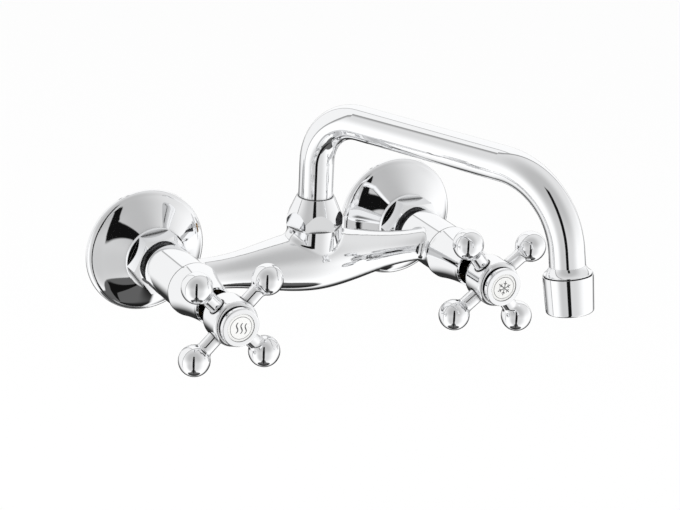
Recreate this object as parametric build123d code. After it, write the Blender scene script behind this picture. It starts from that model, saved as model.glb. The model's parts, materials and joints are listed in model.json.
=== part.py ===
from build123d import *
import os
from math import cos, radians, sin, sqrt, tan

# Wall-mounted basin tap: two handles, one cast bridge body and a swivelling tube spout.
# Frame: +Z up, the wall is the plane Y = 0, the tap stands out towards -Y, +X is right seen from the
# front. The origin lies midway between the two wall inlets. Sizes in millimetres. A distance named
# *_out is measured out from the wall, a height named *_up is measured up from the tap's axis, and a
# distance named *_behind or *_ahead is measured from the plane of the handle's arms.

# Wall connection
inlet_spacing = 150.0
wall_thread_d = 20.955
wall_tail_length = 13.0
wall_tail_bore_d = 14.0
union_drop = 6.0
union_block_out = 1.0
union_block_thick = 4.5
union_thread_d = 26.44
union_bore_d = 19.0
union_end_out = 19.3

# Escutcheon, a pressed bell that hides the hole in the wall
escutcheon_d = 66.6
escutcheon_height = 14.2
escutcheon_wall = 0.9
escutcheon_edge = 1.0
escutcheon_roll_d = 62.0
escutcheon_roll_out = 3.9
escutcheon_roll_bow = 0.5
escutcheon_waist_d = 54.0
escutcheon_waist_out = 6.9
escutcheon_crown = 0.13
escutcheon_throat = 0.2
escutcheon_lip_d = 32.8
escutcheon_hole_gap = 0.4

# Coupling nut, its washer and the tail piece that it holds
nut_across_flats = 29.2
nut_collar_d = 33.4
nut_collar_thick = 2.2
nut_length = 12.4
nut_face_d = 28.0
nut_chamfer_angle = 18.0
nut_thread_gap = 0.1
hot_nut_turn = 6.2
cold_nut_turn = -2.3
washer_thick = 1.8
tail_flange_thick = 1.6
tail_neck_d = 22.4
tail_bore_d = 14.0
tail_thread_d = 20.0
tail_thread_length = 7.0

# Cast body: two barrels and the swelling bridge between them
barrel_d = 26.6
barrel_back_out = 31.0
barrel_front_out = 62.5
barrel_edge = 1.2
bridge_out = 49.5
bridge_rise = 1.5
bridge_end_d = 16.8
bridge_end_x = 60.0
shoulder_d = 24.4
shoulder_x = 30.0
belly_d = 32.4
barrel_blend = 3.0
neck_blend = 4.0
waterway_d = 8.0
inlet_bore_d = 12.0
chamber_d = 19.2
seat_out = 40.0
chamber_end_out = 54.2
cartridge_thread_d = 20.955
thread_gap = 0.08

# Tower, where the spout turns
neck_d = 28.8
neck_top_up = 20.8
tower_wall = 2.0
tower_top_up = 28.0
tower_bore_floor_up = 6.0

# Ceramic cartridge in each barrel
seal_thick = 2.2
seal_d = 17.8
seal_hole_d = 12.4
disc_d = 15.0
disc_thick = 2.8
disc_port_inner_d = 3.6
disc_port_outer_d = 11.6
disc_port_half_angle = 38.0
disc_closed_turn = 90.0
cartridge_shell_d = 18.6
cartridge_shell_wall = 1.4
cartridge_window_width = 8.0
cartridge_window_length = 5.0
cartridge_hex = 21.0
cartridge_hex_thick = 4.5
cartridge_neck_d = 16.0
cartridge_end_behind = 26.2
gasket_thick = 0.8
gasket_d = 24.0
spindle_d = 9.0
spindle_foot_thick = 3.0
spindle_foot_d = 14.0
spindle_key_width = 3.0
spindle_key_length = 13.0
spindle_key_depth = 1.2
spindle_square = 6.4
spindle_square_d = 8.2
spindle_end_behind = 5.2
spindle_shoulder = 1.0
spindle_clip_thick = 1.0
spindle_clip_d = 12.6
spindle_groove_d = 7.6
o_ring_section = 1.3
o_ring_groove_width = 1.6
o_ring_inside = 11.0
running_gap = 0.05
face_gap = 0.05
end_gap = 0.3

# Shroud, the tapering cover over the cartridge
shroud_back_d = 28.4
shroud_front_d = 20.6
shroud_front_behind = 19.2
shroud_lip = 2.6
shroud_bead = 1.6
shroud_waist = 0.5
shroud_wall = 1.1
shroud_web_gap = 0.4
shroud_web_thick = 3.0

# Cross handle
handle_plane_out = 108.2
hub_d = 24.2
hub_back_behind = 10.2
hub_front_ahead = 7.4
hub_front_round = 2.4
hub_back_round = 4.0
hub_stem_d = 13.2
hub_stem_behind = 22.7
hub_cap_bore_d = 17.2
hub_cap_bore_depth = 4.6
hub_web_thick = 3.0
ball_d = 16.2
ball_circle_d = 54.3
arm_d = 8.0
arm_socket_gap = 0.6
arm_socket_depth = 1.4
arm_tenon_d = 5.0
arm_tenon_length = 4.6
arm_root_round = 1.4
arm_neck_round = 2.4
arm_count = 4
hot_rest_turn = -1.0
cold_rest_turn = -9.0

# Handle screw and the index cap over it
screw_d = 4.0
screw_head_d = 8.4
screw_head_thick = 3.0
screw_length = 13.0
screw_slot = 1.2
cap_ring_d = 20.4
cap_undercut = 1.2
cap_ring_thick = 3.0
cap_ring_round = 0.9
cap_tail_gap = 0.1
cap_tail_wall = 1.5
button_d = 14.6
button_edge = 1.6
button_crown = 0.6
button_rim_drop = 0.4
button_gap = 0.1
button_floor = 1.0

# Spout
spout_tube_d = 18.0
spout_tube_wall = 1.0
spout_heading = 23.8
spout_run_up = 82.5
spout_reach = 162.0
outlet_up = 17.1
outlet_lean = 8.5
first_bend_r = 27.0
second_bend_r = 40.5
foot_flange_overhang = 1.5
foot_flange_thick = 1.6
foot_length = 20.5
foot_spigot_length = 8.0
foot_bore_d = 12.0
foot_braze_gap = 0.01
foot_ring_section = 1.6
foot_groove_width = 1.9
foot_ring_ups = (14.0, 20.0)
glide_thick = 0.6
glide_hole_gap = 0.1

# Spout nut on the tower
spout_nut_wall = 2.0
spout_nut_top_wall = 0.9
spout_nut_height = 16.2
spout_nut_cone_start = 9.0
spout_nut_turn = 15.0
spout_nut_thread_gap = 0.1
spout_nut_throat_gap = 0.15

# Outlet
collar_d = 23.8
collar_rise = 4.2
collar_edge = 0.5
collar_hollow = 0.45
collar_thread_d = 21.8
collar_groove = 0.4
collar_bore_d = 15.0
aerator_top_d = 25.2
aerator_bottom_d = 23.8
aerator_height = 18.9
aerator_round = 1.2
aerator_bore_d = 22.0
aerator_lip = 1.8
aerator_mouth_d = 18.4
insert_d = 21.4
insert_height = 8.0
insert_grid = 2.0
insert_bar = 0.7
insert_screen_thick = 1.6
insert_rim = 1.4
aerator_washer_thick = 1.6

# Worked out from the sizes above
axis_z = union_drop
nut_back_out = escutcheon_height
nut_front_out = nut_back_out + nut_length
washer_end_out = union_end_out + washer_thick
tail_flange_end_out = washer_end_out + tail_flange_thick
tail_end_out = barrel_back_out + tail_thread_length
seal_end_out = seat_out + seal_thick
fixed_disc_end_out = seal_end_out + disc_thick
moving_disc_end_out = fixed_disc_end_out + face_gap + disc_thick
spindle_foot_out = moving_disc_end_out + face_gap
spindle_foot_end_out = spindle_foot_out + spindle_foot_thick
cartridge_shell_out = seat_out + seal_thick / 2
cartridge_window_out = moving_disc_end_out - cartridge_window_length / 2
cartridge_hex_out = barrel_front_out + gasket_thick
cartridge_end_out = handle_plane_out - cartridge_end_behind
clip_out = cartridge_end_out + end_gap
clip_end_out = clip_out + spindle_clip_thick
o_ring_out = cartridge_end_out - o_ring_inside
spindle_end_out = handle_plane_out - spindle_end_behind
shroud_front_out = handle_plane_out - shroud_front_behind
shroud_web_out = cartridge_hex_out + cartridge_hex_thick + shroud_web_gap
hub_stem_out = handle_plane_out - hub_stem_behind
hub_back_out = handle_plane_out - hub_back_behind
hub_front_out = handle_plane_out + hub_front_ahead
hub_cap_floor_out = hub_front_out - hub_cap_bore_depth
hub_socket_end_out = spindle_end_out + end_gap
screw_seat_out = hub_socket_end_out + hub_web_thick
cap_back_out = hub_front_out + cap_undercut
cap_front_out = cap_back_out + cap_ring_thick
button_seat_out = cap_front_out - button_edge
tower_thread_d = spout_tube_d + 2 * tower_wall
foot_flange_d = spout_tube_d + 2 * foot_flange_overhang
spout_nut_across_flats = tower_thread_d + 2 * spout_nut_wall
spout_nut_top_d = spout_tube_d + 2 * spout_nut_top_wall
lower_glide_top_up = tower_top_up + glide_thick
foot_flange_up = lower_glide_top_up + face_gap
foot_flange_top_up = foot_flange_up + foot_flange_thick
upper_glide_up = foot_flange_top_up + face_gap
upper_glide_top_up = upper_glide_up + glide_thick
spout_nut_top_up = neck_top_up + spout_nut_height
insert_top = aerator_lip + insert_height
aerator_washer_top = insert_top + aerator_washer_thick
collar_edge_height = aerator_height + collar_groove
outlet_height = collar_edge_height + collar_rise
tube_end_reach = spout_reach - outlet_height * sin(radians(outlet_lean))
tube_end_up = outlet_up + outlet_height * cos(radians(outlet_lean))
corner_reach = spout_reach - (spout_run_up - outlet_up) * tan(radians(outlet_lean))

# Where each side stands, how its handle is turned and how its coupling nut is turned
sides = {
    "hot": (-inlet_spacing / 2, hot_rest_turn, hot_nut_turn),
    "cold": (inlet_spacing / 2, cold_rest_turn, cold_nut_turn),
}


def profile(*path):
    """Closed face through corners and arcs in their order, with straight lines where these are apart."""
    starts = [Vector(step) if isinstance(step, tuple) else step @ 0 for step in path]
    ends = [Vector(step) if isinstance(step, tuple) else step @ 1 for step in path]
    arcs = [step for step in path if not isinstance(step, tuple)]
    lines = [Line(end, start) for end, start in zip(ends, starts[1:] + starts[:1]) if end != start]
    return make_face(arcs + lines)


def on_barrel(face, x):
    """Solid turned about the barrel axis at x from a face of (radius, minus the distance out)."""
    return Pos(x, 0, axis_z) * revolve(face, Axis.Y)


def turned(points, x):
    """Solid turned about the barrel axis at x; each point is (radius, distance out from the wall)."""
    return on_barrel(profile(*[(radius, -out) for radius, out in points]), x)


def ring(outer_d, inner_d, start_out, end_out, x):
    """Plain ring about the barrel axis at x."""
    inner, outer = inner_d / 2, outer_d / 2
    return turned([(inner, start_out), (outer, start_out), (outer, end_out), (inner, end_out)], x)


def upright(points):
    """Solid turned about the tower's axis; each point is (radius, height above the tap's axis)."""
    return Pos(0, -bridge_out, axis_z) * revolve(Plane.XZ * profile(*points), Axis.Z)


def upright_ring(outer_d, inner_d, low_up, high_up):
    """Plain ring about the tower's axis."""
    inner, outer = inner_d / 2, outer_d / 2
    return upright([(inner, low_up), (outer, low_up), (outer, high_up), (inner, high_up)])


def prism_out(sketch, start_out, length, x, z=axis_z):
    """Sketch pushed out from the wall by a length, starting at a distance from it."""
    return Pos(x, -start_out, z) * Rot(90, 0, 0) * extrude(sketch, length)


def hexagon(across_flats, turn=0.0):
    return RegularPolygon(across_flats / 2, 6, major_radius=False, rotation=turn)


# Wall side

def wall_union(x):
    """Eccentric union: a tail in the wall's socket and a larger thread, offset by the drop."""
    tail = prism_out(Circle(wall_thread_d / 2), -wall_tail_length, wall_tail_length + union_block_out, x, 0)
    block_sketch = SlotCenterToCenter(union_drop, union_thread_d, rotation=90)
    block = prism_out(block_sketch, union_block_out, union_block_thick, x, union_drop / 2)
    end = prism_out(Circle(union_thread_d / 2), union_block_out, union_end_out - union_block_out, x)
    bore_split_out = union_block_out + union_block_thick / 2
    back_bore_length = wall_tail_length + bore_split_out
    back_bore = prism_out(Circle(wall_tail_bore_d / 2), -wall_tail_length, back_bore_length, x, 0)
    front_bore = prism_out(Circle(union_bore_d / 2), bore_split_out, union_end_out - bore_split_out, x)
    return tail + block + end - back_bore - front_bore


def escutcheon(x):
    """Pressed bell: an upright edge, a rolled rim, a crown, a flared throat and a flat lip round the hole."""
    hole_r = union_thread_d / 2 + escutcheon_hole_gap

    def bell(inset):
        edge_r, roll_r = escutcheon_d / 2 - inset, escutcheon_roll_d / 2 - inset
        edge, roll = (edge_r, -escutcheon_edge), (roll_r, inset - escutcheon_roll_out)
        waist = (escutcheon_waist_d / 2 - inset, inset - escutcheon_waist_out)
        lip = (escutcheon_lip_d / 2 - inset, inset - escutcheon_height)
        return profile((hole_r, 0), (edge_r, 0), SagittaArc(edge, roll, escutcheon_roll_bow),
                       SagittaArc(roll, waist, escutcheon_crown),
                       SagittaArc(waist, lip, -escutcheon_throat), (hole_r, inset - escutcheon_height))

    return on_barrel(bell(0.0), x) - on_barrel(bell(escutcheon_wall), x)


def coupling_nut(turn, x):
    """Union nut: a round collar against the escutcheon and a chamfered hexagon in front."""
    hex_out = nut_back_out + nut_collar_thick
    corner, face_r, collar_r = nut_across_flats / sqrt(3), nut_face_d / 2, nut_collar_d / 2
    chamfer_out = nut_front_out - (corner - face_r) * tan(radians(nut_chamfer_angle))
    cone = turned([(0, hex_out), (corner, hex_out), (corner, chamfer_out), (face_r, nut_front_out),
                   (0, nut_front_out)], x)
    block = prism_out(hexagon(nut_across_flats, turn), hex_out, nut_length - nut_collar_thick, x) & cone
    collar = turned([(0, nut_back_out), (collar_r, nut_back_out), (collar_r, hex_out), (0, hex_out)], x)
    thread_r = union_thread_d / 2 + nut_thread_gap
    lip_r = tail_neck_d / 2 + nut_thread_gap
    bore = turned([(0, nut_back_out), (thread_r, nut_back_out), (thread_r, tail_flange_end_out),
                   (lip_r, tail_flange_end_out), (lip_r, nut_front_out), (0, nut_front_out)], x)
    return block + collar - bore


def tail_piece(x):
    """Flanged nipple that the nut pulls against the washer; its other end screws into the body."""
    bore, flange = tail_bore_d / 2, union_thread_d / 2
    neck, thread = tail_neck_d / 2, tail_thread_d / 2
    return turned([(bore, washer_end_out), (flange, washer_end_out), (flange, tail_flange_end_out),
                   (neck, tail_flange_end_out), (neck, barrel_back_out), (thread, barrel_back_out),
                   (thread, tail_end_out), (bore, tail_end_out)], x)


# Cast body

def bridge_form():
    """The swelling bridge: a spline from each barrel over the shoulder to the belly, turned about X."""
    end_r, shoulder_r, belly_r = bridge_end_d / 2, shoulder_d / 2, belly_d / 2
    swell = Spline((-bridge_end_x, end_r), (-shoulder_x, shoulder_r), (0, belly_r),
                   (shoulder_x, shoulder_r), (bridge_end_x, end_r), tangents=[(1, 0), (1, 0)])
    reach = inlet_spacing / 2
    outline = profile(swell, (reach, end_r), (reach, 0), (-reach, 0), (-reach, end_r))
    return Pos(0, -bridge_out, axis_z + bridge_rise) * revolve(outline, Axis.X)


def barrel_form(x):
    barrel_r, edge_r = barrel_d / 2, barrel_d / 2 - barrel_edge
    edge_out = barrel_back_out + barrel_edge
    return turned([(0, barrel_back_out), (edge_r, barrel_back_out), (barrel_r, edge_out),
                   (barrel_r, barrel_front_out), (0, barrel_front_out)], x)


def barrel_bores(x):
    """Inlet thread, passage, cartridge chamber and cartridge thread of one barrel."""
    tail_r, inlet_r = tail_thread_d / 2 + thread_gap, inlet_bore_d / 2
    chamber_r, thread_r = chamber_d / 2, cartridge_thread_d / 2 + thread_gap
    return turned([(0, barrel_back_out), (tail_r, barrel_back_out), (tail_r, tail_end_out),
                   (inlet_r, tail_end_out), (inlet_r, seat_out), (chamber_r, seat_out),
                   (chamber_r, chamber_end_out), (thread_r, chamber_end_out),
                   (thread_r, barrel_front_out), (0, barrel_front_out)], x)


def cast_body():
    """Bridge body: barrels, swelling bridge and tower neck blended into one casting, then bored."""
    bridge, neck_r, tower_r = bridge_form(), neck_d / 2, tower_thread_d / 2
    neck = upright([(0, 0), (neck_r, 0), (neck_r, neck_top_up), (0, neck_top_up)])
    body = bridge + neck
    body = fillet(new_edges(bridge, neck, combined=body), neck_blend)
    barrels = [barrel_form(x) for x, _, _ in sides.values()]
    casting = body + barrels[0] + barrels[1]
    casting = fillet(new_edges(body, *barrels, combined=casting), barrel_blend)
    casting += upright([(0, 0), (tower_r, 0), (tower_r, tower_top_up), (0, tower_top_up)])
    for x, _, _ in sides.values():
        casting -= barrel_bores(x)
    waterway = Cylinder(waterway_d / 2, inlet_spacing - chamber_d / 2)
    casting -= Pos(0, -bridge_out, axis_z + bridge_rise) * Rot(0, 90, 0) * waterway
    riser_r, bore_r = foot_bore_d / 2, spout_tube_d / 2 + running_gap
    return casting - upright([(0, 0), (riser_r, 0), (riser_r, tower_bore_floor_up),
                              (bore_r, tower_bore_floor_up), (bore_r, tower_top_up), (0, tower_top_up)])


# Cartridge

def disc_ports(turn):
    """Two opposite ports, each a sector between two radii."""
    far = disc_port_outer_d
    spread = far * tan(radians(disc_port_half_angle))
    wedge = Polygon((0, 0), (far, -spread), (far, spread), align=None)
    band = Circle(disc_port_outer_d / 2) - Circle(disc_port_inner_d / 2)
    return Rot(0, 0, turn) * ((band & wedge) + (band & (Rot(0, 0, 180) * wedge)))


def ceramic_disc(start_out, turn, x):
    return prism_out(Circle(disc_d / 2) - disc_ports(turn), start_out, disc_thick, x)


def moving_disc(turn, x):
    """Turning disc, a quarter turn away from the fixed one, with the slot that the spindle's key drives."""
    disc = ceramic_disc(fixed_disc_end_out + face_gap, turn + disc_closed_turn, x)
    slot = Rot(0, 0, turn) * Rectangle(disc_d, spindle_key_width + 2 * running_gap)
    return disc - prism_out(slot, moving_disc_end_out - spindle_key_depth, spindle_key_depth, x)


def cartridge_body(x):
    """Brass cartridge: windowed shell in the chamber, thread, hexagon and the neck for the shroud."""
    shell_r, thread_r, neck_r = cartridge_shell_d / 2, cartridge_thread_d / 2, cartridge_neck_d / 2
    outside = turned([(0, cartridge_shell_out), (shell_r, cartridge_shell_out), (shell_r, chamber_end_out),
                      (thread_r, chamber_end_out), (thread_r, cartridge_hex_out),
                      (neck_r, cartridge_hex_out), (neck_r, cartridge_end_out), (0, cartridge_end_out)], x)
    outside += prism_out(hexagon(cartridge_hex), cartridge_hex_out, cartridge_hex_thick, x)
    cavity_r, stem_r = shell_r - cartridge_shell_wall, spindle_d / 2 + running_gap
    seal_r = seal_d / 2 + running_gap
    cavity_end_out = spindle_foot_end_out + face_gap
    cavity = turned([(0, seat_out), (seal_r, seat_out), (seal_r, seal_end_out), (cavity_r, seal_end_out),
                     (cavity_r, cavity_end_out), (stem_r, cavity_end_out), (stem_r, cartridge_end_out),
                     (0, cartridge_end_out)], x)
    window = Rectangle(chamber_d, cartridge_window_width)
    return outside - cavity - prism_out(window, cartridge_window_out, cartridge_window_length, x)


def spindle(turn, x):
    """Spindle: keyed foot on the moving disc, plain stem with its ring groove, and a square end."""
    foot_r, stem_r, groove_r = spindle_foot_d / 2, spindle_d / 2, spindle_groove_d / 2
    ring_r, ring_start = stem_r - o_ring_section, o_ring_out - o_ring_groove_width / 2
    ring_end, shoulder_end = ring_start + o_ring_groove_width, clip_end_out + spindle_shoulder
    stem = turned([(0, spindle_foot_out), (foot_r, spindle_foot_out), (foot_r, spindle_foot_end_out),
                   (stem_r, spindle_foot_end_out), (stem_r, ring_start), (ring_r, ring_start),
                   (ring_r, ring_end), (stem_r, ring_end), (stem_r, clip_out), (groove_r, clip_out),
                   (groove_r, clip_end_out), (stem_r, clip_end_out), (stem_r, shoulder_end),
                   (0, shoulder_end)], x)
    key = Rot(0, 0, turn) * Rectangle(spindle_key_length, spindle_key_width)
    key_out = moving_disc_end_out - spindle_key_depth + face_gap
    stem += prism_out(key, key_out, spindle_foot_out - key_out, x)
    square = Rot(0, 0, turn + 45) * Rectangle(spindle_square, spindle_square) & Circle(spindle_square_d / 2)
    end = prism_out(square, shoulder_end, spindle_end_out - shoulder_end, x)
    tapped_length = screw_length - hub_web_thick
    tapped = prism_out(Circle(screw_d / 2 + thread_gap), spindle_end_out - tapped_length, tapped_length, x)
    return stem + end - tapped


def spindle_ring(x):
    """Rubber ring in the spindle's groove."""
    centre_r = (spindle_d - o_ring_section) / 2
    return Pos(x, -o_ring_out, axis_z) * Rot(90, 0, 0) * Torus(centre_r, o_ring_section / 2)


# Shroud

def shroud(x):
    """Tapering cover, open in front, with an inner web that screws on the cartridge's neck."""
    bead_out, lip_out = barrel_front_out + shroud_bead, shroud_front_out - shroud_lip

    def cone(inset):
        back_r, front_r = shroud_back_d / 2 - inset, shroud_front_d / 2 - inset
        return profile((0, -barrel_front_out), (back_r, -barrel_front_out),
                       SagittaArc((back_r, -bead_out), (front_r, -lip_out), -shroud_waist),
                       (front_r, -shroud_front_out), (0, -shroud_front_out))

    outside, inside = on_barrel(cone(0.0), x), on_barrel(cone(shroud_wall), x)
    web_hole_d, web_end_out = cartridge_neck_d + 2 * thread_gap, shroud_web_out + shroud_web_thick
    web = ring(shroud_back_d, web_hole_d, shroud_web_out, web_end_out, x) & inside
    return outside - inside + web


# Cross handle

def arm_places(turn):
    return [turn + 45 + k * 360 / arm_count for k in range(arm_count)]


def out_along(angle, x):
    """Place whose X axis runs out along one handle arm, in the handle's plane."""
    return Pos(x, -handle_plane_out, axis_z) * Rot(0, -angle, 0)


def hub(turn, x):
    """Handle hub: a round drum with a stem behind, arm sockets, the spindle's socket and the cap's bore."""
    stem_r, drum_r = hub_stem_d / 2, hub_d / 2
    back_r, front_r = drum_r - hub_back_round, drum_r - hub_front_round
    back_end, front_start = hub_back_out + hub_back_round, hub_front_out - hub_front_round
    drum = on_barrel(profile(
        (0, -hub_stem_out), (stem_r, -hub_stem_out), (stem_r, -hub_back_out),
        RadiusArc((back_r, -hub_back_out), (drum_r, -back_end), hub_back_round),
        RadiusArc((drum_r, -front_start), (front_r, -hub_front_out), hub_front_round),
        (0, -hub_front_out)), x)
    cap_r, head_r, screw_r = hub_cap_bore_d / 2, screw_head_d / 2 + thread_gap, screw_d / 2 + thread_gap
    drum -= turned([(0, hub_socket_end_out), (screw_r, hub_socket_end_out), (screw_r, screw_seat_out),
                    (head_r, screw_seat_out), (head_r, hub_cap_floor_out), (cap_r, hub_cap_floor_out),
                    (cap_r, hub_front_out), (0, hub_front_out)], x)
    side, across = spindle_square + 2 * running_gap, spindle_square_d / 2 + running_gap
    socket = Rot(0, 0, turn + 45) * Rectangle(side, side) & Circle(across)
    drum -= prism_out(socket, hub_stem_out, hub_socket_end_out - hub_stem_out, x)
    socket_r, floor = arm_d / 2 + arm_socket_gap, drum_r - arm_socket_depth
    hole_r, hole_end = arm_tenon_d / 2 + thread_gap, floor - arm_tenon_length - end_gap
    arm_hole = revolve(profile((hole_end, 0), (hole_end, hole_r), (floor, hole_r), (floor, socket_r),
                               (hub_d, socket_r), (hub_d, 0)), Axis.X)
    for angle in arm_places(turn):
        drum -= out_along(angle, x) * arm_hole
    return drum


def ball_arm(angle, x):
    """One turned arm: tenon in the hub, rod with a rounded root, and ball, with a hollow neck between."""
    floor = hub_d / 2 - arm_socket_depth
    tenon_r, rod_r, ball_r, centre = arm_tenon_d / 2, arm_d / 2, ball_d / 2, ball_circle_d / 2
    tenon_start, ball_end = floor - arm_tenon_length, centre + ball_r
    hollow_r, hollow_centre_r = ball_r + arm_neck_round, rod_r + arm_neck_round
    hollow_back = sqrt(hollow_r ** 2 - hollow_centre_r ** 2)
    share = ball_r / hollow_r
    rod_end, meet = (centre - hollow_back, rod_r), (centre - share * hollow_back, share * hollow_centre_r)
    arm = profile((tenon_start, 0), (tenon_start, tenon_r), (floor, tenon_r), (floor, rod_r - arm_root_round),
                  RadiusArc((floor, rod_r - arm_root_round), (floor + arm_root_round, rod_r), arm_root_round),
                  RadiusArc(rod_end, meet, -arm_neck_round),
                  ThreePointArc(meet, (centre, ball_r), (ball_end, 0)))
    return out_along(angle, x) * revolve(arm, Axis.X)


def handle_screw(turn, x):
    """Slotted screw that holds the hub on the spindle."""
    head_r, shank_r = screw_head_d / 2, screw_d / 2
    head_end, tip = screw_seat_out + screw_head_thick, screw_seat_out - screw_length + end_gap
    screw = turned([(0, tip), (shank_r, tip), (shank_r, screw_seat_out), (head_r, screw_seat_out),
                    (head_r, head_end), (0, head_end)], x)
    slot = Rot(0, 0, turn) * Rectangle(screw_head_d, screw_slot)
    return screw - prism_out(slot, head_end - screw_slot, screw_slot, x)


def index_ring(x):
    """Chromed bezel: a tail pressed in the hub, an undercut and a rounded ring round the button."""
    ring_r, tail_r, seat_r = cap_ring_d / 2, hub_cap_bore_d / 2 - cap_tail_gap, button_d / 2 + button_gap
    inner_r, seat = tail_r - cap_tail_wall, button_seat_out
    nose_r, nose_back = ring_r - cap_ring_round, cap_back_out + cap_ring_round
    nose_front = cap_front_out - cap_ring_round
    return on_barrel(profile(
        (0, button_floor - seat), (inner_r, button_floor - seat), (inner_r, -hub_cap_floor_out),
        (tail_r, -hub_cap_floor_out), (tail_r, -cap_back_out),
        RadiusArc((nose_r, -cap_back_out), (ring_r, -nose_back), cap_ring_round),
        RadiusArc((ring_r, -nose_front), (nose_r, -cap_front_out), cap_ring_round),
        (seat_r, -cap_front_out), (seat_r, -seat), (0, -seat)), x)


def index_button(x):
    """Porcelain button with a low crown, seated in the bezel."""
    edge_r, rim_out, top_out = button_d / 2, cap_front_out - button_rim_drop, cap_front_out + button_crown
    crown = top_out - rim_out
    crown_r = (edge_r ** 2 + crown ** 2) / (2 * crown)
    return on_barrel(profile((0, -button_seat_out), (edge_r, -button_seat_out),
                             RadiusArc((edge_r, -rim_out), (0, -top_out), crown_r)), x)


# Spout

def spout_frame():
    """Upright plane through the tower's axis and the outlet; local X runs out along the spout."""
    heading = radians(spout_heading)
    out, across = (sin(heading), -cos(heading), 0), (-cos(heading), -sin(heading), 0)
    return Plane(origin=(0, -bridge_out, axis_z), x_dir=out, z_dir=across)


def spout_tube():
    """Bent tube: up from the foot, out level and down, a little outward, to the outlet."""
    start, rise = (0, foot_flange_top_up), (0, spout_run_up)
    corner, end = (corner_reach, spout_run_up), (tube_end_reach, tube_end_up)
    route = spout_frame() * FilletPolyline(start, rise, corner, end, radius=[first_bend_r, second_bend_r])
    outer, inner = spout_tube_d / 2, spout_tube_d / 2 - spout_tube_wall
    section = Plane((0, -bridge_out, axis_z + foot_flange_top_up)) * (Circle(outer) - Circle(inner))
    return sweep(section, path=route)


def spout_foot():
    """Brass foot brazed in the tube: grooves for two rings, and the flange that the nut traps."""
    r, flange_r, bore_r = spout_tube_d / 2, foot_flange_d / 2, foot_bore_d / 2
    spigot_r, groove_r = r - spout_tube_wall - foot_braze_gap, r - foot_ring_section
    low, top = foot_flange_up - foot_length, foot_flange_top_up + foot_spigot_length
    outline = [(bore_r, low), (r, low)]
    for up in foot_ring_ups:
        start, end = up - foot_groove_width / 2, up + foot_groove_width / 2
        outline += [(r, start), (groove_r, start), (groove_r, end), (r, end)]
    outline += [(r, foot_flange_up), (flange_r, foot_flange_up), (flange_r, foot_flange_top_up),
                (spigot_r, foot_flange_top_up), (spigot_r, top), (bore_r, top)]
    return upright(outline)


def spout_rings():
    """The foot's two rubber rings."""
    rubber = Torus((spout_tube_d - foot_ring_section) / 2, foot_ring_section / 2)
    return [Pos(0, -bridge_out, axis_z + up) * rubber for up in foot_ring_ups]


def spout_nut():
    """Hexagonal nut on the tower whose upper half is a cone, so that each flat ends in an arch."""
    flat_r, top_r = spout_nut_across_flats / 2, spout_nut_top_d / 2
    corner = spout_nut_across_flats / sqrt(3)
    slope = (flat_r - top_r) / (spout_nut_height - spout_nut_cone_start)
    corner_up = neck_top_up + spout_nut_cone_start - (corner - flat_r) / slope
    block = extrude(hexagon(spout_nut_across_flats, -spout_nut_turn), spout_nut_height)
    cone = upright([(0, neck_top_up), (corner, neck_top_up), (corner, corner_up), (top_r, spout_nut_top_up),
                    (0, spout_nut_top_up)])
    thread_r, throat_r = tower_thread_d / 2 + spout_nut_thread_gap, spout_tube_d / 2 + spout_nut_throat_gap
    bore = upright([(0, neck_top_up), (thread_r, neck_top_up), (thread_r, upper_glide_top_up),
                    (throat_r, upper_glide_top_up), (throat_r, spout_nut_top_up), (0, spout_nut_top_up)])
    return (Pos(0, -bridge_out, axis_z + neck_top_up) * block & cone) - bore


# Outlet, drawn upwards from its mouth along the leaning end of the tube

def outlet_frame():
    """Plane of the outlet's mouth; its Z axis runs up the leaning end of the tube."""
    heading, lean = radians(spout_heading), radians(outlet_lean)
    mouth = (spout_reach * sin(heading), -bridge_out - spout_reach * cos(heading), axis_z + outlet_up)
    up = (-sin(heading) * sin(lean), cos(heading) * sin(lean), cos(lean))
    return Plane(origin=mouth, x_dir=(cos(heading), sin(heading), 0), z_dir=up)


def outlet_turned(face):
    """Solid turned about the outlet's axis; in the face X is the radius and Y the height over the mouth."""
    return outlet_frame() * revolve(Plane.XZ * face, Axis.Z)


def outlet_ring(outer_d, inner_d, low, high):
    inner, outer = inner_d / 2, outer_d / 2
    return outlet_turned(profile((inner, low), (outer, low), (outer, high), (inner, high)))


def outlet_collar():
    """Ring brazed on the tube's end: a flaring shoulder, a groove and the thread for the aerator."""
    tube_r, shoulder_r = spout_tube_d / 2, collar_d / 2
    thread_r, bore_r = collar_thread_d / 2, collar_bore_d / 2
    edge, flare = collar_edge_height, collar_edge_height + collar_edge
    return outlet_turned(profile(
        (bore_r, aerator_washer_top), (thread_r, aerator_washer_top), (thread_r, edge), (shoulder_r, edge),
        SagittaArc((shoulder_r, flare), (tube_r, outlet_height), collar_hollow), (bore_r, outlet_height)))


def aerator_housing():
    """Slightly tapering screwed sleeve with a rounded lower edge and a lip under the insert."""
    top_r, low_r = aerator_top_d / 2, aerator_bottom_d / 2
    bore_r, mouth_r = aerator_bore_d / 2, aerator_mouth_d / 2
    return outlet_turned(profile(
        (mouth_r, 0), RadiusArc((low_r - aerator_round, 0), (low_r, aerator_round), -aerator_round),
        (top_r, aerator_height), (bore_r, aerator_height), (bore_r, aerator_lip), (mouth_r, aerator_lip)))


def aerator_insert():
    """Plastic jet straightener: a rim round a square grid."""
    outer, inner, cell = insert_d / 2, insert_d / 2 - insert_rim, insert_grid - insert_bar
    count = int(2 * inner / insert_grid) + 1
    holes = Sketch() + [place * Rectangle(cell, cell)
                        for place in GridLocations(insert_grid, insert_grid, count, count)
                        if place.position.length + cell / sqrt(2) < inner]
    screen = extrude(Circle(outer) - holes, insert_screen_thick)
    rim = extrude(Circle(outer) - Circle(inner), insert_height)
    return outlet_frame() * (Pos(0, 0, aerator_lip) * (screen + rim))


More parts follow.
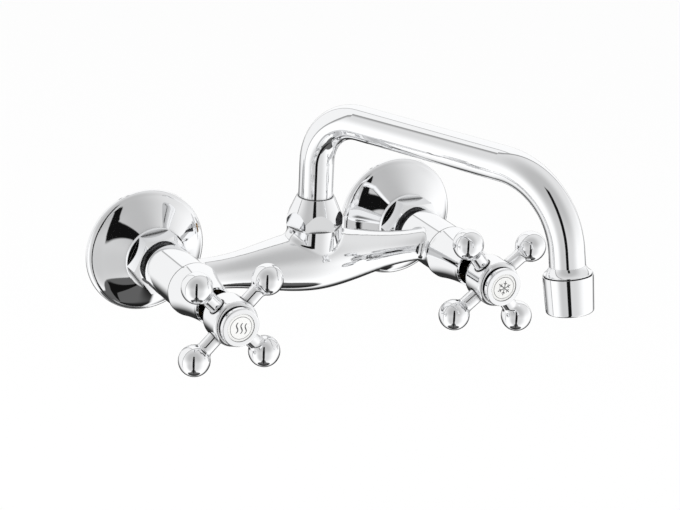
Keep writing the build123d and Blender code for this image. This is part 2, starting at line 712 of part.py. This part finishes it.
def side_parts(side, x, turn, nut_turn):
    """Every piece on one side of the tap; both sides are built the same."""
    return {
        f"{side}_wall_union": wall_union(x),
        f"{side}_escutcheon": escutcheon(x),
        f"{side}_coupling_nut": coupling_nut(nut_turn, x),
        f"{side}_inlet_washer": ring(union_thread_d, tail_bore_d, union_end_out, washer_end_out, x),
        f"{side}_tail_piece": tail_piece(x),
        f"{side}_seat_seal": ring(seal_d, seal_hole_d, seat_out, seal_end_out, x),
        f"{side}_fixed_disc": ceramic_disc(seal_end_out, turn, x),
        f"{side}_moving_disc": moving_disc(turn, x),
        f"{side}_cartridge_body": cartridge_body(x),
        f"{side}_cartridge_gasket": ring(gasket_d, cartridge_thread_d + 2 * thread_gap, barrel_front_out,
                                         cartridge_hex_out, x),
        f"{side}_spindle": spindle(turn, x),
        f"{side}_spindle_ring": spindle_ring(x),
        f"{side}_spindle_clip": ring(spindle_clip_d, spindle_groove_d, clip_out, clip_end_out, x),
        f"{side}_shroud": shroud(x),
        f"{side}_handle_hub": hub(turn, x),
        f"{side}_ball_arms": Compound([ball_arm(angle, x) for angle in arm_places(turn)]),
        f"{side}_handle_screw": handle_screw(turn, x),
        f"{side}_index_ring": index_ring(x),
        f"{side}_index_button": index_button(x),
    }


def spout_parts():
    """The swivelling spout, its fastening on the tower and its outlet."""
    glide_hole_d = spout_tube_d + 2 * glide_hole_gap
    return {
        "spout_tube": spout_tube(),
        "spout_foot": spout_foot(),
        "spout_rings": Compound(spout_rings()),
        "spout_lower_glide": upright_ring(foot_flange_d, glide_hole_d, tower_top_up, lower_glide_top_up),
        "spout_upper_glide": upright_ring(foot_flange_d, glide_hole_d, upper_glide_up, upper_glide_top_up),
        "spout_nut": spout_nut(),
        "outlet_collar": outlet_collar(),
        "aerator_housing": aerator_housing(),
        "aerator_insert": aerator_insert(),
        "aerator_washer": outlet_ring(insert_d, collar_bore_d, insert_top, aerator_washer_top),
    }


parts = {"bridge_body": cast_body()}
for side, (x, turn, nut_turn) in sides.items():
    parts |= side_parts(side, x, turn, nut_turn)
parts |= spout_parts()

os.makedirs("parts", exist_ok=True)
for name, shape in parts.items():
    export_step(shape, f"parts/{name}.step")
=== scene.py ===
"""Looks of the wall-mounted basin tap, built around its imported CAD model."""
import json
import math
import bmesh
import bpy
from mathutils import Matrix, Vector


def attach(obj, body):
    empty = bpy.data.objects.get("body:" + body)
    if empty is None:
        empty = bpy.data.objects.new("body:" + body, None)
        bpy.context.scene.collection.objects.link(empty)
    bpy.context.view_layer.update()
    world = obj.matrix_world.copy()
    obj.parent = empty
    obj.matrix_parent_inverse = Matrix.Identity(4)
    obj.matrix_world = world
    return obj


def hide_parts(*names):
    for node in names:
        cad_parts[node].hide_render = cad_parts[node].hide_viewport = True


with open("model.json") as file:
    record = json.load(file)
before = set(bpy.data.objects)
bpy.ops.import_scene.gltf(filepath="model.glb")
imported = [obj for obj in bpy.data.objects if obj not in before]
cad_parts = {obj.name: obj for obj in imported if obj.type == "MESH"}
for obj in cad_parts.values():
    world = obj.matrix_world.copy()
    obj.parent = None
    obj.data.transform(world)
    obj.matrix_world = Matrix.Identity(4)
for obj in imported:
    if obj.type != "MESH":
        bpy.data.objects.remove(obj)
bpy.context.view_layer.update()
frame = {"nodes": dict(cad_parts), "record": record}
nodes = frame["nodes"]
scene = bpy.context.scene
mm = 0.001
white = (1.0, 1.0, 1.0)

# Places shared with the CAD model, in millimetres
side_x = 75.0
sides = {"hot": -side_x, "cold": side_x}
axis_z = 6.0
button_top_out = 120.4
button_crown_r = 27.145
tail_tip_y = 13.0
tail_block_y = -1.0
tail_r = 10.4775
barrel_front_out = 62.5


# Node helpers

class Tree:
    """Adds shader nodes by short names and links them. A colour is three numbers."""

    def __init__(self, tree):
        self.tree = tree
        tree.nodes.clear()

    def add(self, kind, inputs=None, **settings):
        node = self.tree.nodes.new("ShaderNode" + kind)
        for name, value in settings.items():
            setattr(node, name, value)
        for name, value in (inputs or {}).items():
            self.put(node.inputs[name], value)
        return node

    def put(self, socket, value):
        """Links an input to another node's output, or sets it."""
        if isinstance(value, bpy.types.NodeSocket):
            self.tree.links.new(value, socket)
        elif socket.type == "RGBA":
            socket.default_value = (*value, 1.0)
        else:
            socket.default_value = value

    def math(self, operation, *values):
        return self.add("Math", dict(enumerate(values)), operation=operation).outputs[0]

    def ramp(self, value, low, high, to_low=0.0, to_high=1.0):
        """Value from low to high mapped smoothly to the new range, and clamped."""
        return self.add("MapRange", {0: value, 1: low, 2: high, 3: to_low, 4: to_high},
                        interpolation_type="SMOOTHSTEP").outputs[0]

    def fade(self, value, full, none):
        """1 up to full, 0 from none on, and smooth between them."""
        return self.ramp(value, full, none, 1.0, 0.0)

    def noise(self, place, scale, detail=2.0, roughness=0.5):
        return self.add("TexNoise", {"Vector": place, "Scale": scale, "Detail": detail,
                                     "Roughness": roughness}).outputs[0]

    def blend(self, share, first, second):
        """Colour between two colours, each of them numbers or a socket."""
        return self.add("Mix", {0: share, 6: first, 7: second}, data_type="RGBA").outputs[2]

    def bump(self, height, distance, normal=None):
        inputs = {"Height": height, "Strength": 1.0, "Distance": distance}
        return self.add("Bump", inputs | ({"Normal": normal} if normal else {})).outputs[0]


def new_material(name):
    """Empty material with one Principled shader.

    Gives the material, its tree, the shader and the object's place.
    """
    material = bpy.data.materials.new(name)
    material.use_nodes = True
    tree = Tree(material.node_tree)
    shader = tree.add("BsdfPrincipled")
    tree.add("OutputMaterial", {"Surface": shader.outputs[0]})
    return material, tree, shader, tree.add("TexCoord").outputs["Object"]


def finish(tree, shader, **values):
    """Sets or links the shader's inputs, named with _ for a space."""
    for name, value in values.items():
        tree.put(shader.inputs[name.replace("_", " ")], value)


# Finishes. A noise's scale is per metre, and its detail and roughness are Blender's own.

# Painted shade: how far out of a corner, and how dark, the plating's colour is darkened
corner_shade_reach = 2.6 * mm
corner_shade_full, corner_shade_none = 0.45, 0.88
corner_shade_colour = (0.05, 0.05, 0.05)
joint_line = (0.35 * mm, 0.75 * mm)
joint_colour = (0.15, 0.15, 0.15)
edge_radius = 0.25 * mm
polish = 0.015
plated_tint = (0.93, 0.935, 0.945)
bright_tint = (0.94, 0.945, 0.955)
bare_and_shaded_edge = 0.5 * mm
bare_turn = 0.1
patch_roughness = 0.6
patch_low, patch_high = 0.35, 0.7
tarnish_scale = 90.0
tarnish_share = 0.5
tarnish_dulls = 0.2
grain_scale = 2500.0
grain_share = 0.4
dust_scale = 400.0
dust_low, dust_high = 0.4, 0.75
rubber_skin_scale, rubber_skin_depth = 3000.0, 0.02 * mm
plastic_skin_scale, plastic_skin_depth = 4000.0, 0.01 * mm
body_cloud_scale, glaze_flow_scale = 160.0, 260.0
plastic_cloud_scale, ink_cloud_scale = 300.0, 900.0


def patches(tree, place, scale, detail, to_low=0.0, to_high=1.0):
    """Uneven patches over the surface, from to_low to to_high."""
    return tree.ramp(tree.noise(place, scale, detail, patch_roughness), patch_low, patch_high,
                     to_low, to_high)


def tarnished(tree, place):
    return patches(tree, place, tarnish_scale, detail=5.0)


def painted_corner_shade(tree, tint):
    """Plating colour with painted shade: darker in seams, corners and between parts, where
    ambient occlusion finds them.
    """
    open_share = tree.add("AmbientOcclusion", {"Distance": corner_shade_reach}, samples=6).outputs["AO"]
    return tree.blend(tree.fade(open_share, corner_shade_full, corner_shade_none), tint, corner_shade_colour)


def buffed(tree, place, wave_scale, wave_depth, smear):
    """Gloss and normal of polished plating: slow waves, faint smears and softened edges."""
    slow = tree.noise(place, wave_scale, detail=1.0, roughness=0.4)
    gloss = patches(tree, place, 3 * wave_scale, 3.0, polish, smear)
    edge = tree.add("Bevel", {"Radius": edge_radius}, samples=4).outputs[0]
    return gloss, tree.bump(slow, wave_depth, edge)


def chrome(name, tint, wave_scale, wave_depth, smear):
    """Polished plating all over."""
    material, tree, shader, place = new_material(name)
    gloss, normal = buffed(tree, place, wave_scale, wave_depth, smear)
    # The base colour carries painted shade in seams and corners.
    finish(tree, shader, Base_Color=painted_corner_shade(tree, tint), Metallic=1.0, Roughness=gloss,
           Normal=normal)
    return material


def hollow_chrome(name, tint, inside, roughness, also=None, joint_out=None):
    """Polished outside, unplated where a ring round the cartridge line faces its own axis.

    inside is the colour there: unplated metal, and on the shroud near black, painted shade for
    the dark gap round the hub. roughness is what it adds to the gloss. also is the y of the
    object normal above which it is unplated as well. joint_out is how far out from the wall the
    ring's back edge lies, in millimetres, where a dark line is left.
    """
    material, tree, shader, place = new_material(name)
    px, py, pz = tree.add("SeparateXYZ", {0: place}).outputs
    facing = tree.add("TexCoord").outputs["Normal"]
    nx, ny, nz = tree.add("SeparateXYZ", {0: facing}).outputs
    from_axis = tree.math("SUBTRACT", tree.math("ABSOLUTE", px), side_x * mm)
    across = tree.math("MULTIPLY", from_axis, tree.math("SIGN", px))
    up = tree.math("SUBTRACT", pz, axis_z * mm)
    outward = tree.math("ADD", tree.math("MULTIPLY", across, nx), tree.math("MULTIPLY", up, nz))
    bare_and_shaded = tree.fade(outward, full=-bare_and_shaded_edge, none=0.0)
    if also is not None:
        bare_and_shaded = tree.math("MAXIMUM", bare_and_shaded, tree.ramp(ny, also, also + bare_turn))
    tarnish_colour = tuple(tarnish_share * c for c in inside)
    dull = tree.blend(tarnished(tree, place), inside, tarnish_colour)
    # The plated colour carries painted shade in seams and corners.
    plated = painted_corner_shade(tree, tint)
    if joint_out is not None:
        off_joint = tree.math("ABSOLUTE", tree.math("ADD", py, joint_out * mm))
        plated = tree.blend(tree.fade(off_joint, *joint_line), plated, joint_colour)
    gloss, normal = buffed(tree, place, wave_scale=60.0, wave_depth=0.012 * mm, smear=0.04)
    finish(tree, shader, Base_Color=tree.blend(bare_and_shaded, plated, dull), Metallic=1.0,
           Roughness=tree.math("MULTIPLY_ADD", bare_and_shaded, roughness, gloss), Normal=normal)
    return material


def turned_metal(name, light, dark, roughness, groove_pitch, groove_depth):
    """Unplated metal from the lathe: fine grooves round the axis, and slow tarnish."""
    material, tree, shader, place = new_material(name)
    y = tree.add("SeparateXYZ", {0: place}).outputs[1]
    groove = tree.math("SINE", tree.math("MULTIPLY", y, 2 * math.pi / groove_pitch))
    tarnish = tarnished(tree, place)
    grain = tree.math("MULTIPLY", tree.noise(place, grain_scale), grain_share)
    finish(tree, shader, Base_Color=tree.blend(tarnish, light, dark), Metallic=1.0,
           Roughness=tree.ramp(tarnish, 0.0, 1.0, roughness, roughness + tarnish_dulls),
           Normal=tree.bump(tree.math("ADD", groove, grain), groove_depth))
    return material


def rubber(name, clean, dusty):
    """Moulded rubber with a fine skin, paler and duller where dust lies on it."""
    material, tree, shader, place = new_material(name)
    specks = tree.noise(place, dust_scale, detail=4.0, roughness=0.6)
    dust = tree.ramp(specks, dust_low, dust_high)
    skin = tree.noise(place, rubber_skin_scale)
    finish(tree, shader, Base_Color=tree.blend(dust, clean, dusty),
           Roughness=tree.ramp(dust, 0.0, 1.0, to_low=0.5, to_high=0.75),
           Normal=tree.bump(skin, rubber_skin_depth))
    return material


def glazed(name, light, dark, roughness, ripple):
    """Fired white body under a clear glaze that is not quite flat."""
    material, tree, shader, place = new_material(name)
    cloud = tree.noise(place, body_cloud_scale, detail=3.0)
    flow = tree.noise(place, glaze_flow_scale, detail=1.0)
    finish(tree, shader, Base_Color=tree.blend(cloud, light, dark), Roughness=roughness,
           Coat_Weight=1.0, Coat_Roughness=0.04, Normal=tree.bump(flow, ripple))
    return material


def plastic(name, light, dark, roughness):
    """Moulded plastic, faintly cloudy, that lets a little light in."""
    material, tree, shader, place = new_material(name)
    cloud = tree.noise(place, plastic_cloud_scale, detail=3.0)
    skin = tree.noise(place, plastic_skin_scale)
    finish(tree, shader, Base_Color=tree.blend(cloud, light, dark), Roughness=roughness,
           Subsurface_Weight=0.1, Subsurface_Scale=1.0 * mm,
           Normal=tree.bump(skin, plastic_skin_depth))
    return material


def fired_ink(name, dark, pale):
    """Fired print that shines as the glaze does."""
    material, tree, shader, place = new_material(name)
    cloud = tree.noise(place, ink_cloud_scale, detail=3.0)
    finish(tree, shader, Base_Color=tree.blend(cloud, dark, pale), Roughness=0.3,
           Coat_Weight=0.8)
    return material


# Materials: one for each slot, and others for the nodes that look unlike their slot

looks = {
    "chrome_cast": chrome("chrome_cast", plated_tint,
                          wave_scale=55.0, wave_depth=0.06 * mm, smear=0.05),
    "chrome_turned": chrome("chrome_turned", bright_tint,
                            wave_scale=60.0, wave_depth=0.01 * mm, smear=0.03),
    "chrome_pressed": chrome("chrome_pressed", plated_tint,
                             wave_scale=45.0, wave_depth=0.02 * mm, smear=0.04),
    "raw_brass": turned_metal("raw_brass", (0.62, 0.43, 0.17), (0.34, 0.22, 0.09),
                              roughness=0.28, groove_pitch=0.35 * mm, groove_depth=0.01 * mm),
    "steel": turned_metal("steel", (0.45, 0.45, 0.46), (0.24, 0.24, 0.25),
                          roughness=0.35, groove_pitch=0.3 * mm, groove_depth=0.01 * mm),
    "rubber": rubber("rubber", (0.012, 0.012, 0.013), (0.035, 0.034, 0.032)),
    "ceramic": glazed("ceramic", (0.86, 0.84, 0.78), (0.8, 0.78, 0.72),
                      roughness=0.25, ripple=0.002 * mm),
    "porcelain": glazed("porcelain", (0.9, 0.9, 0.89), (0.86, 0.86, 0.84),
                        roughness=0.12, ripple=0.01 * mm),
    "glide_plastic": plastic("glide_plastic", (0.85, 0.85, 0.82), (0.78, 0.78, 0.75),
                             roughness=0.4),
    "jet_plastic": plastic("jet_plastic", (0.62, 0.62, 0.62), (0.5, 0.5, 0.51),
                           roughness=0.45),
}
own_looks = {
    # The shroud's near-black inside is painted shade for the gap between its rim and the hub.
    "shroud": hollow_chrome("shroud_chrome_shaded_inside", bright_tint, inside=(0.03, 0.026, 0.02),
                            roughness=0.5, joint_out=barrel_front_out),
    "escutcheon": hollow_chrome("escutcheon_chrome", plated_tint, inside=(0.4, 0.38, 0.34),
                                roughness=0.4, also=0.3),
    # Painted shade: the brass tail piece is coloured dark chrome for the shaded groove between
    # nut and barrel.
    "tail_piece": turned_metal("shaded_chrome", (0.1, 0.1, 0.105), (0.05, 0.05, 0.052),
                               roughness=0.2, groove_pitch=0.8 * mm, groove_depth=0.005 * mm),
}
# Painted shade: the spindle, cartridge body and clip seen in the gap behind the hub are coloured
# near-black brass.
brass_painted_shade = turned_metal("brass_painted_shade", (0.05, 0.036, 0.018), (0.025, 0.018, 0.01),
                          roughness=0.45, groove_pitch=0.4 * mm, groove_depth=0.01 * mm)
own_looks |= dict.fromkeys(("spindle", "cartridge_body", "spindle_clip"), brass_painted_shade)
print_ink = fired_ink("print_ink", (0.03, 0.03, 0.032), (0.08, 0.08, 0.085))

slots = {row["node"]: row["material_slot"] for row in frame["record"]["subparts"]}
for name, node in nodes.items():
    without_side = name.split("_", 1)[1]
    node.data.materials.clear()
    node.data.materials.append(own_looks.get(without_side, looks[slots[name]]))


# Marks on the buttons, in millimetres and degrees, with no letters: steam lines on the hot one
# and an ice crystal on the cold one

ink_top = 0.03
ink_foot = -0.06
ink_flat = 0.8
stroke_end, stroke_swell = 0.55, 0.45
rim_r, rim_width, rim_step = 5.85, 0.3, 6
steam_places = (-2.4, 0.0, 2.4)
steam_foot, steam_rise, steam_sway, steam_steps = -2.8, 0.35, 0.65, 16
steam_width, steam_tilt = 0.8, -12.0
spokes = 6
spoke_reaches = (0.15, 1.5, 3.4, 3.9)
spoke_width = 0.65
barb_root, barb_bend, barb_width = 2.1, 55, 0.5
barb_reaches = (0.0, 0.7, 1.3)
crystal_tilt = 20.0
same_place = 1e-6


def ribbon(bm, points, width, x, tilt):
    """Raised stroke along points (across, up), laid on the button's crown and closed all round.

    A stroke that ends where it starts is a closed line of even width.
    """
    turn = Matrix.Rotation(math.radians(tilt), 2)
    points = [turn @ Vector(p) for p in points]
    last = len(points) - 1
    closed = (points[0] - points[-1]).length < same_place
    rows = []
    for k, p in enumerate(points):
        if closed:
            ahead, behind = points[(k + 1) % last], points[(k - 1) % last]
            share = 1.0
        else:
            ahead, behind = points[min(k + 1, last)], points[max(k - 1, 0)]
            share = stroke_end + stroke_swell * math.sin(math.pi * (k + 0.5) / len(points))
        along = (ahead - behind).normalized()
        across = Vector((-along.y, along.x)) * width / 2 * share
        row = []
        for q, lift in ((p - across, ink_foot), (p - across * ink_flat, ink_top),
                        (p + across * ink_flat, ink_top), (p + across, ink_foot)):
            drop = button_crown_r - math.sqrt(button_crown_r ** 2 - q.length_squared)
            out = button_top_out - drop + lift
            row.append(bm.verts.new(Vector((x + q.x, -out, axis_z + q.y)) * mm))
        rows.append(row)
    for first, second in zip(rows, rows[1:]):
        for k in range(4):
            n = (k + 1) % 4
            bm.faces.new((first[k], first[n], second[n], second[k]))
    if not closed:
        for row in (rows[0], rows[-1]):
            bm.faces.new(row)


def new_piece(name, bm, material, body):
    """Makes the mesh a piece that rides on a body, with the given material."""
    mesh = bpy.data.meshes.new(name)
    bmesh.ops.recalc_face_normals(bm, faces=bm.faces)
    bm.to_mesh(mesh)
    bm.free()
    mesh.materials.append(material)
    piece = bpy.data.objects.new(name, mesh)
    scene.collection.objects.link(piece)
    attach(piece, body)
    return piece


rim_turns = [math.radians(t) for t in range(0, 361, rim_step)]
rim_line = [(rim_r * math.cos(t), rim_r * math.sin(t)) for t in rim_turns]

steam = bmesh.new()
ribbon(steam, rim_line, rim_width, sides["hot"], 0.0)
for across in steam_places:
    wave = [(across + steam_sway * math.sin(2 * math.pi * t / steam_steps),
             steam_foot + steam_rise * t) for t in range(steam_steps + 1)]
    ribbon(steam, wave, steam_width, sides["hot"], steam_tilt)
new_piece("hot_mark", steam, print_ink, "hot_handle")

crystal = bmesh.new()
ribbon(crystal, rim_line, rim_width, sides["cold"], 0.0)
for k in range(spokes):
    turn = math.radians(360 / spokes * k)
    spoke = Vector((math.cos(turn), math.sin(turn)))
    line = [reach * spoke for reach in spoke_reaches]
    ribbon(crystal, line, spoke_width, sides["cold"], crystal_tilt)
    for bend in (-barb_bend, barb_bend):
        barb = Matrix.Rotation(math.radians(bend), 2) @ spoke
        line = [barb_root * spoke + reach * barb for reach in barb_reaches]
        ribbon(crystal, line, barb_width, sides["cold"], crystal_tilt)
new_piece("cold_mark", crystal, print_ink, "cold_handle")


# Wall unions, in millimetres: the CAD's own mesh, with its plain tail cut to a pipe thread

thread_pitch = 1.814
thread_depth = 1.162
thread_flat = 0.12
thread_lead = 0.12
run_out_turns = 1.5
tip_chamfer = 1.3
ring_steps = 96
turn_steps = 8
tail_slack = 0.02
tail_length = tail_tip_y - tail_block_y
weld = 0.001 * mm
sharp_angle = math.radians(35.0)


def thread_radius(along, turn):
    """Radius of the thread at a distance from the tail's block and a share of a turn."""
    phase = (along / thread_pitch + turn) % 1.0
    ridge = 1.0 - abs(2.0 * phase - 1.0)
    ridge = min(1.0, max(0.0, (ridge - thread_flat) / (1.0 - 2.0 * thread_flat)))
    chamfer = max(0.0, tip_chamfer - (tail_length - along))
    run_out = min(1.0, along / (run_out_turns * thread_pitch))
    return tail_r - max(chamfer, thread_depth * (1.0 - ridge) * run_out)


def threaded_union(side, x):
    bm = bmesh.new()
    bm.from_mesh(nodes[f"{side}_wall_union"].data)
    bmesh.ops.remove_doubles(bm, verts=bm.verts, dist=weld)
    radius = {v: math.hypot(v.co.x / mm - x, v.co.z / mm) for v in bm.verts}

    def on_tail(v, from_y):
        on_wall = abs(radius[v] - tail_r) < tail_slack
        return on_wall and v.co.y / mm > from_y - tail_slack

    wall = [f for f in bm.faces if all(on_tail(v, tail_block_y) for v in f.verts)]
    tip = [v for v in bm.verts if on_tail(v, tail_tip_y)]
    bmesh.ops.delete(bm, geom=wall, context="FACES")
    for edge in bm.edges:
        edge.smooth = edge.calc_face_angle(math.pi) < sharp_angle
    tip_share = (tail_r - tip_chamfer) / tail_r
    for v in tip:
        v.co = Vector((x * mm + (v.co.x - x * mm) * tip_share, v.co.y, v.co.z * tip_share))
    count = int(tail_length / thread_pitch * turn_steps)
    rows = []
    for k in range(count + 1):
        along = thread_lead + k / count * (tail_length - 2 * thread_lead)
        row = []
        for s in range(ring_steps):
            turn = s / ring_steps
            r = thread_radius(along, turn)
            angle = 2 * math.pi * turn
            place = (x + r * math.cos(angle), tail_block_y + along, r * math.sin(angle))
            row.append(bm.verts.new(Vector(place) * mm))
        rows.append(row)
    for first, second in zip(rows, rows[1:]):
        for s in range(ring_steps):
            t = (s + 1) % ring_steps
            bm.faces.new((first[s], first[t], second[t], second[s]))
    middle = (tail_block_y + tail_tip_y) / 2 * mm
    for outer in (False, True):
        rim = [e for e in bm.edges if e.is_boundary and (e.verts[0].co.y > middle) == outer]
        bmesh.ops.bridge_loops(bm, edges=rim)
    for face in bm.faces:
        face.smooth = True
    piece = new_piece(f"{side}_threaded_union", bm, looks["raw_brass"], "tap_body")
    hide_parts(f"{side}_wall_union")


for side, x in sides.items():
    threaded_union(side, x)


# World: a white tent with a dark slit at the lens, seen only in reflections. Azimuths and
# elevations are in degrees, with azimuth 0 straight out from the wall. x, y and z are the
# direction's own parts, from -1 to 1, with y towards the wall. A level is a brightness.

lens_azimuth = -28.5
behind_azimuth = 152.0
above_lens_level = 0.52
below_lens_level = 0.72
left_of_lens_level = 0.62
backdrop_edge_level = 0.3
backdrop_seam_x, backdrop_seam_level = -0.02, 0.5
low_behind_level = 0.03
foot_behind_level = 0.015
foot_front_level = 0.12
slit_level = 0.006

world = bpy.data.worlds.new("studio")
scene.world = world
world.use_nodes = True
sky = Tree(world.node_tree)
direction = sky.add("TexCoord").outputs["Generated"]
x, y, z = sky.add("SeparateXYZ", {0: direction}).outputs
azimuth = sky.math("DEGREES", sky.math("ARCTAN2", x, sky.math("MULTIPLY", y, -1.0)))
elevation = sky.math("DEGREES", sky.math("ARCSINE", z))


def away(from_azimuth):
    """Degrees between the azimuth of the direction and a given one."""
    turn = sky.math("SUBTRACT", azimuth, from_azimuth)
    return sky.math("ABSOLUTE", sky.math("WRAP", turn, 180.0, -180.0))


def patch(at_azimuth, at_elevation, wide, tall, soft):
    """Soft oval patch: 1 inside, 0 outside."""
    across = sky.math("DIVIDE", away(at_azimuth), wide)
    up = sky.math("DIVIDE", sky.math("SUBTRACT", elevation, at_elevation), tall)
    squares = sky.math("ADD", sky.math("MULTIPLY", across, across), sky.math("MULTIPLY", up, up))
    return sky.fade(sky.math("SQRT", squares), 1.0 - soft, 1.0 + soft)


def near(at_azimuth, at_elevation, close, far):
    """1 within close degrees of a direction, 0 beyond far degrees."""
    a, e = math.radians(at_azimuth), math.radians(at_elevation)
    centre = (math.sin(a) * math.cos(e), -math.cos(a) * math.cos(e), math.sin(e))
    cosine = sky.add("VectorMath", {0: direction, 1: centre}, operation="DOT_PRODUCT")
    angle = sky.math("DEGREES", sky.math("ARCCOSINE", cosine.outputs["Value"]))
    return sky.fade(angle, close, far)


def towards(value, level, share):
    """Brightness moved towards a level by a share."""
    gap = sky.math("SUBTRACT", level, value)
    return sky.math("ADD", value, sky.math("MULTIPLY", gap, share))


# The tent's cloth, darker towards its top and grey round the lens
tent = sky.ramp(elevation, low=-10.0, high=32.0, to_low=1.08, to_high=0.8)
above_lens = near(lens_azimuth, at_elevation=38.0, close=26.0, far=78.0)
tent = towards(tent, above_lens_level, above_lens)
below_lens = patch(lens_azimuth + 6.0, at_elevation=-24.0, wide=46.0, tall=42.0, soft=0.6)
tent = towards(tent, below_lens_level, below_lens)
left_of_lens = patch(lens_azimuth - 22.0, at_elevation=-24.0, wide=20.0, tall=30.0, soft=0.7)
tent = towards(tent, left_of_lens_level, left_of_lens)

# The backdrop on the wall's side: a grey edge round it, and two halves that meet in a seam
above_floor = sky.ramp(elevation, low=-50.0, high=-20.0)
backdrop_edge = sky.math("MULTIPLY", sky.ramp(y, low=0.33, high=0.4), above_floor)
tent = towards(tent, backdrop_edge_level, backdrop_edge)
off_seam = sky.math("ABSOLUTE", sky.math("SUBTRACT", x, backdrop_seam_x))
seam = sky.ramp(off_seam, low=0.015, high=0.045, to_low=backdrop_seam_level, to_high=1.0)
halves = sky.ramp(x, low=-0.03, high=0.02, to_low=0.95, to_high=1.02)
tent = towards(tent, sky.math("MULTIPLY", seam, halves), sky.ramp(y, low=0.41, high=0.44))

# The dark room: low down behind, and under the tent's foot, which is highest below the lens
low_behind = patch(behind_azimuth, at_elevation=-36.0, wide=54.0, tall=26.0, soft=0.35)
tent = towards(tent, low_behind_level, low_behind)
foot = sky.ramp(away(lens_azimuth), low=6.0, high=34.0, to_low=-46.0, to_high=-66.0)
under_foot = sky.fade(sky.math("SUBTRACT", elevation, foot), full=-1.5, none=1.5)
foot_level = sky.ramp(away(behind_azimuth), 50.0, 100.0, foot_behind_level, foot_front_level)
tent = towards(tent, foot_level, under_foot)

# The slit that the lens looks through
slit = sky.math("MULTIPLY", sky.fade(away(lens_azimuth), full=6.8, none=9.0),
                sky.fade(elevation, full=49.0, none=53.0))
tent = towards(tent, slit_level, slit)

ray = sky.add("LightPath").outputs
studio = sky.add("Background", {"Color": white, "Strength": tent}).outputs[0]
plain = sky.add("Background", {"Color": white, "Strength": 1.0}).outputs[0]
seen = sky.add("MixShader", {0: ray["Is Glossy Ray"], 1: plain, 2: studio}).outputs[0]
sky.add("OutputWorld", {"Surface": seen})


# Floor, in metres: far below, plain and pale, with the shadow left on it

floor_z = -0.45
floor_reach = 12.0
paper_colour = (0.93, 0.93, 0.93)
glow_share = 0.5

bm = bmesh.new()
bm.faces.new([bm.verts.new((sx * floor_reach, sy * floor_reach, floor_z))
              for sx, sy in ((-1, -1), (1, -1), (1, 1), (-1, 1))])
floor_mesh = bpy.data.meshes.new("floor")
bm.to_mesh(floor_mesh)
bm.free()
floor = bpy.data.objects.new("floor", floor_mesh)
scene.collection.objects.link(floor)
floor.visible_glossy = False
paper = bpy.data.materials.new("paper")
paper.use_nodes = True
ground = Tree(paper.node_tree)
matt = ground.add("BsdfDiffuse", {"Color": paper_colour}).outputs[0]
glow = ground.add("Emission", {"Color": white, "Strength": 1.0}).outputs[0]
share = ground.math("MULTIPLY", ground.add("LightPath").outputs["Is Camera Ray"], glow_share)
mixed = ground.add("MixShader", {0: share, 1: matt, 2: glow}).outputs[0]
ground.add("OutputMaterial", {"Surface": mixed})
floor_mesh.materials.append(paper)


# Lamp, in metres and watts: one large soft panel above and to the left

lamp_size = 1.6
lamp_power = 16.0
lamp_place = Vector((-1.2, -1.4, 2.2))
lamp_aim = Vector((0, -0.1, 0))

lamp = bpy.data.lights.new("panel", "AREA")
lamp.shape = "SQUARE"
lamp.size = lamp_size
lamp.energy = lamp_power
panel = bpy.data.objects.new("panel", lamp)
scene.collection.objects.link(panel)
panel.location = lamp_place
panel.rotation_mode = "QUATERNION"
panel.rotation_quaternion = (lamp_aim - lamp_place).to_track_quat("-Z", "Y")
panel.visible_glossy = False


# Camera at the photograph's viewing angle: its place in metres, and its lens in millimetres

azimuth_deg, elevation_deg, roll_deg = -28.1, 20.37, 2.43
camera_place = (-0.61206, -1.2256, 0.50265)
focal_length = 142.59
sensor_width = 36.0

a, e, r = (math.radians(v) for v in (azimuth_deg, elevation_deg, roll_deg))
back = Vector((math.sin(a) * math.cos(e), -math.cos(a) * math.cos(e), math.sin(e)))
level = Vector((math.cos(a), math.sin(a), 0))
rise = back.cross(level)
across = math.cos(r) * level + math.sin(r) * rise
upward = -math.sin(r) * level + math.cos(r) * rise
lens = bpy.data.cameras.new("camera")
lens.sensor_width = sensor_width
lens.lens = focal_length
camera = bpy.data.objects.new("camera", lens)
scene.collection.objects.link(camera)
turned = Matrix((across, upward, back)).transposed().to_4x4()
camera.matrix_world = Matrix.Translation(camera_place) @ turned
scene.camera = camera
scene.view_settings.view_transform = "Standard"
